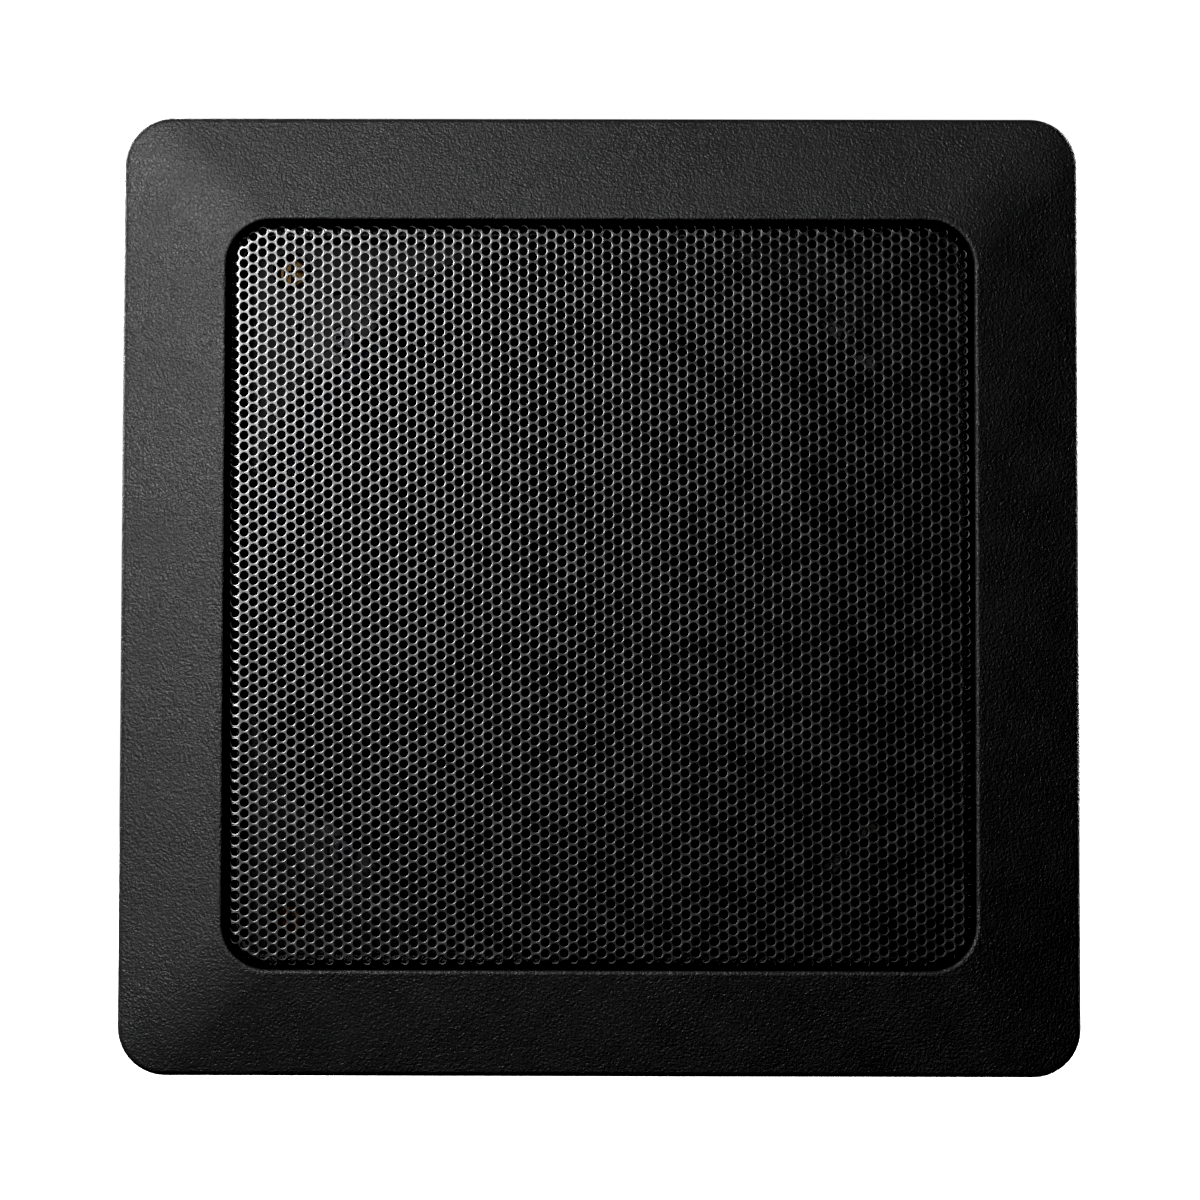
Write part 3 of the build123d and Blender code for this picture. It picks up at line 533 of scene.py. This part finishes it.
def hexagons(lattice):
    """Corners of the hexagons round the holes, shared between neighbours, and each hole's six."""
    angles = np.radians(np.arange(6) * 60.0)
    reach = HOLE_PITCH / math.sqrt(3)
    hexes = lattice[:, None, :] + reach * np.stack([np.cos(angles), np.sin(angles)], -1)
    keys = np.round(hexes.reshape(-1, 2) / WELD).astype(np.int64)
    _, first, index = np.unique(keys, axis=0, return_index=True, return_inverse=True)
    return hexes.reshape(-1, 2)[first], index.reshape(len(lattice), 6)


def rim_edges(index):
    """Hexagon edges that only one hole uses: they run round the blank."""
    edges = np.stack([index, np.roll(index, -1, axis=1)], -1).reshape(-1, 2)
    _, where, uses = np.unique(np.sort(edges, axis=1), axis=0, return_inverse=True,
                               return_counts=True)
    return edges[uses[where.ravel()] == 1]


def pulled_out(corners, rim):
    """Corners on the blank, with those of its rim pulled to its true edge."""
    u, v = turned(corners[:, 0], corners[:, 1])
    d, nu, nv = outline_distance(u, v, FLAT_HALF, FLAT_CORNER)
    on_rim = np.unique(rim)
    pull = np.zeros(len(corners))
    pull[on_rim] = FLAP - d[on_rim]
    return u + nu * pull, v + nv * pull


def sharp_rims(mesh, start, end):
    """Mark edges between points start and end as sharp, so that the faces beside them stay flat."""
    ends = np.empty(len(mesh.edges) * 2, np.int32)
    mesh.edges.foreach_get("vertices", ends)
    ends = ends.reshape(-1, 2)
    inside = ((ends >= start) & (ends < end)).all(axis=1)
    attribute = mesh.attributes.get("sharp_edge") or mesh.attributes.new("sharp_edge", "BOOLEAN", "EDGE")
    known = np.empty(len(mesh.edges), bool)
    attribute.data.foreach_get("value", known)
    attribute.data.foreach_set("value", inside | known)


def build_grille(face_material, bore_material):
    """Perforated sheet, punched flat and then folded into a pan: holes run on round the fold."""
    lattice = hole_centres()
    corners, index = hexagons(lattice)
    rim = rim_edges(index)
    corner_u, corner_v = pulled_out(corners, rim)
    ring = np.radians(np.arange(HOLE_SIDES) * 360.0 / HOLE_SIDES)
    unit = np.stack([np.cos(ring), np.sin(ring)], -1)

    def circles(radius, share):
        at = lattice[:, None, :] + radius * unit
        u, v = turned(at[..., 0], at[..., 1])
        return folded(u, v, share).reshape(-1, 3)

    # points: two layers of corners, then four rings down each hole from front to rear
    layers = [
        folded(corner_u, corner_v, 0.0),
        folded(corner_u, corner_v, 1.0),
        circles(HOLE_RADIUS + HOLE_EDGE, 0.0),
        circles(HOLE_RADIUS + HOLE_EDGE - ROLL_WIDTH, ROLL_DEPTH / SHEET),
        circles(HOLE_RADIUS, HOLE_EDGE / SHEET),
        circles(HOLE_RADIUS, 1.0),
    ]
    _, rear, mouth, roll, edge, tail, _ = np.cumsum([0] + [len(layer) for layer in layers])
    cell = np.arange(len(lattice)) * HOLE_SIDES
    faces = []
    # front and rear of the sheet: six parts of a hexagon round each hole
    per_side = HOLE_SIDES // 6
    for k in range(6):
        a, b = index[:, k], index[:, (k + 1) % 6]
        arc = [(k * per_side + s) % HOLE_SIDES for s in range(per_side + 1)]
        front_arc = [mouth + cell + s for s in arc]
        rear_arc = [tail + cell + s for s in arc]
        faces += np.stack([a, b, *reversed(front_arc)], -1).tolist()
        faces += np.stack([*rear_arc, rear + b, rear + a], -1).tolist()
    # rolled edge, broken edge and bore of each hole
    bands = []
    for outer, inner in ((mouth, roll), (roll, edge), (edge, tail)):
        bands.append(len(faces))
        for s in range(HOLE_SIDES):
            t = (s + 1) % HOLE_SIDES
            quad = [outer + cell + s, outer + cell + t, inner + cell + t, inner + cell + s]
            faces += np.stack(quad, -1).tolist()
    bores = slice(bands[1], len(faces))
    # the blank's own edge
    faces += np.stack([rim[:, 1], rim[:, 0], rear + rim[:, 0], rear + rim[:, 1]], -1).tolist()

    piece = new_piece("grille_sheet", np.concatenate(layers), faces, face_material)
    piece.data.materials.append(bore_material)
    slots = np.zeros(len(faces), np.int32)
    slots[bores] = 1
    piece.data.polygons.foreach_set("material_index", slots)
    sharp_rims(piece.data, mouth, roll)
    sharp_rims(piece.data, roll, edge)
    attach(piece, "grille")
    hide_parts("grille")


def soft_copy(node, name, material, weight_of):
    """Piece with a CAD node's shape, between the frame and the cone, with its own material in place of
    the node.

    weight_of gives each point's place on a line from start (fixed) to end (moving); the points are set
    to it and then put back, so it is not used.
    """
    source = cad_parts[node]
    mesh = source.data.copy()
    mesh.name = name
    mesh.materials.clear()
    mesh.materials.append(material)
    piece = bpy.data.objects.new(name, mesh)
    bpy.context.scene.collection.objects.link(piece)
    rest = np.empty(len(mesh.vertices) * 3)
    mesh.vertices.foreach_get("co", rest)
    points = rest.reshape(-1, 3)
    along = np.zeros_like(points)
    along[:, 0] = weight_of(points)
    mesh.vertices.foreach_set("co", along.ravel())
    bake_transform(piece)
    mesh.vertices.foreach_set("co", rest)
    mesh.update()
    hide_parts(node)


def from_axis(points):
    """Distance of each point from the driver's axis."""
    return np.hypot(points[:, 0], points[:, 2])


def below_axis(points):
    return -points[:, 2]


def build_clamp_screw(corner, material):
    """Clamp screw with its rolled thread: the CAD head, and a new shank."""
    node = f"clamp_screw_{corner}"
    low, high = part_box(node)
    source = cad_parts[node].data
    centre_x, centre_z = (low.x + high.x) / 2, (low.z + high.z) / 2
    points = [v.co.copy() for v in source.vertices]
    seat = max(p.y for p in points
               if math.hypot(p.x - centre_x, p.z - centre_z) > HEAD_OUTSIDE)
    kept_points, kept_faces, used = [], [], {}
    for polygon in source.polygons:
        at = [points[i] for i in polygon.vertices]
        if max(p.y for p in at) > seat + 0.01 * MM:
            continue
        face = []
        for i in polygon.vertices:
            key = tuple(round(c / WELD) for c in points[i])
            if key not in used:
                used[key] = len(kept_points)
                kept_points.append(points[i])
            face.append(used[key])
        if len(set(face)) == len(face):
            kept_faces.append(face)
    # shank: one radius for each angle and depth, cut by a helix
    rows = int((high.y - seat) / THREAD_PITCH * THREAD_STEPS) + 1
    base = len(kept_points)
    for row in range(rows + 1):
        y = seat + (high.y - seat) * row / rows
        taper = min(1.0, (high.y - y) / POINT_LENGTH + POINT_SHARE)
        for side in range(THREAD_SIDES):
            angle = 2 * math.pi * side / THREAD_SIDES
            phase = ((y - seat) / THREAD_PITCH - side / THREAD_SIDES) % 1.0
            height = CREST_SLOPE * (1.0 - abs(2 * phase - 1.0)) - CREST_LEVEL
            crest = min(1.0, max(0.0, height))
            cut = crest if y > seat + PLAIN_NECK else 1.0
            r = (SHANK_RADIUS - THREAD_DEPTH * (1.0 - cut)) * taper
            kept_points.append(Vector((centre_x + r * math.cos(angle), y,
                                       centre_z + r * math.sin(angle))))
    for row in range(rows):
        for side in range(THREAD_SIDES):
            a = base + row * THREAD_SIDES + side
            b = base + row * THREAD_SIDES + (side + 1) % THREAD_SIDES
            kept_faces.append([a, a + THREAD_SIDES, b + THREAD_SIDES, b])
    kept_faces.append([base + rows * THREAD_SIDES + s for s in reversed(range(THREAD_SIDES))])
    kept_faces.append([base + s for s in range(THREAD_SIDES)])
    piece = new_piece(f"threaded_screw_{corner}", kept_points, kept_faces, material, smooth=False)
    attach(piece, node)
    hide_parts(node)


# =============================================================================================
# Scene
# =============================================================================================
def place_camera():
    """Camera in front of the grille, a little below its middle."""
    face = Vector(((pan_low.x + pan_high.x) / 2, pan_low.y, (pan_low.z + pan_high.z) / 2))
    data = bpy.data.cameras.new("camera")
    data.lens = CAMERA_LENS
    data.sensor_width = 36.0
    data.clip_start = 0.01
    camera = bpy.data.objects.new("camera", data)
    turn = (Matrix.Rotation(math.radians(-CAMERA_YAW), 4, "Z")
            @ Matrix.Rotation(math.radians(90 + CAMERA_PITCH), 4, "X")
            @ Matrix.Rotation(math.radians(CAMERA_ROLL), 4, "Z"))
    camera.matrix_world = Matrix.Translation(face + Vector(CAMERA_OFFSET)) @ turn
    bpy.context.scene.collection.objects.link(camera)
    bpy.context.scene.camera = camera


def area_light(name, place, target, size, power):
    """Soft box at a place, facing a target."""
    data = bpy.data.lights.new(name, "AREA")
    data.shape = "RECTANGLE"
    data.size, data.size_y = size
    data.energy = power
    light = bpy.data.objects.new(name, data)
    direction = Vector(target) - Vector(place)
    light.matrix_world = (Matrix.Translation(Vector(place))
                          @ direction.to_track_quat("-Z", "Y").to_matrix().to_4x4())
    bpy.context.scene.collection.objects.link(light)
    return light


def set_stage():
    """Round pale floor that curves up into a wall on every side, lit by its own light."""
    level = cad_low.z - FLOOR_GAP
    flat = FLOOR_REACH - FLOOR_CURVE
    profile = [(FLOOR_INNER, level), (flat, level)]
    for step in range(1, CURVE_STEPS + 1):
        angle = math.radians(step * 90 / CURVE_STEPS)
        profile.append((flat + FLOOR_CURVE * math.sin(angle),
                        level + FLOOR_CURVE - FLOOR_CURVE * math.cos(angle)))
    profile.append((FLOOR_REACH, level + WALL_HEIGHT))
    points = [(0.0, 0.0, level)]
    for r, z in profile:
        for side in range(FLOOR_SIDES):
            angle = 2 * math.pi * side / FLOOR_SIDES
            points.append((r * math.cos(angle), r * math.sin(angle), z))
    faces = []
    for side in range(FLOOR_SIDES):
        after = (side + 1) % FLOOR_SIDES
        faces.append([0, 1 + side, 1 + after])
        for ring in range(len(profile) - 1):
            inner, outer = 1 + ring * FLOOR_SIDES, 1 + (ring + 1) * FLOOR_SIDES
            faces.append([inner + side, outer + side, outer + after, inner + after])
    f = Finish("paper_backdrop")
    f.set("Base Color", f.blend(f.noise(0.03, 3.0), (0.90, 0.90, 0.90), (0.93, 0.93, 0.93)))
    f.set("Roughness", 0.9)
    f.set("Specular IOR Level", 0.1)
    f.set("Emission Color", (1.0, 1.0, 1.0))
    f.set("Emission Strength", FLOOR_LIGHT)
    floor = new_piece("backdrop", points, faces, f.material)
    floor.visible_diffuse = False
    floor.visible_glossy = False
    floor.visible_shadow = False


def set_lights():
    """Weak light from everywhere, two soft boxes at the upper left, and four behind the part."""
    world = bpy.data.worlds.new("studio")
    world.use_nodes = True
    world.node_tree.nodes["Background"].inputs["Color"].default_value = (1, 1, 1, 1)
    world.node_tree.nodes["Background"].inputs["Strength"].default_value = WORLD_LIGHT
    bpy.context.scene.world = world
    area_light("key", (-0.33, -0.47, 0.26), FRONT_TARGET, (0.17, 0.20), 2.5)
    area_light("side", (-0.25, -0.48, 0.11), FRONT_TARGET, (0.10, 0.13), 0.6)
    for name, place, power in REAR_LIGHTS:
        light = area_light(name, place, REAR_TARGET, REAR_SOFT_BOX, power)
        light.visible_camera = False


def main():
    materials = finishes()
    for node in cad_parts.values():
        for slot in node.material_slots:
            key = slot.material.name.split(".")[0] if slot.material else ""
            slot.link = "OBJECT"
            slot.material = materials.get(key, materials["moulded_black"])
    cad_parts["gasket_segments"].material_slots[0].material = materials["pressed_board"]
    build_grille(materials["grille_black"], materials["sheared_bore"])
    soft_copy("surround", "rubber_surround", materials["rubber"],
              from_axis)
    soft_copy("spider", "cloth_spider", materials["spider_cloth"],
              from_axis)
    soft_copy("tinsel_leads", "tinsel_pair", materials["tinsel"],
              below_axis)
    for corner in ("top_right", "top_left", "bottom_left", "bottom_right"):
        build_clamp_screw(corner, materials["yellow_zinc"])
    place_camera()
    set_stage()
    set_lights()
    view = bpy.context.scene.view_settings
    view.view_transform = "Standard"
    view.use_curve_mapping = True
    view.curve_mapping.black_level = (BLACK_LEVEL, BLACK_LEVEL, BLACK_LEVEL)
    view.curve_mapping.update()


main()
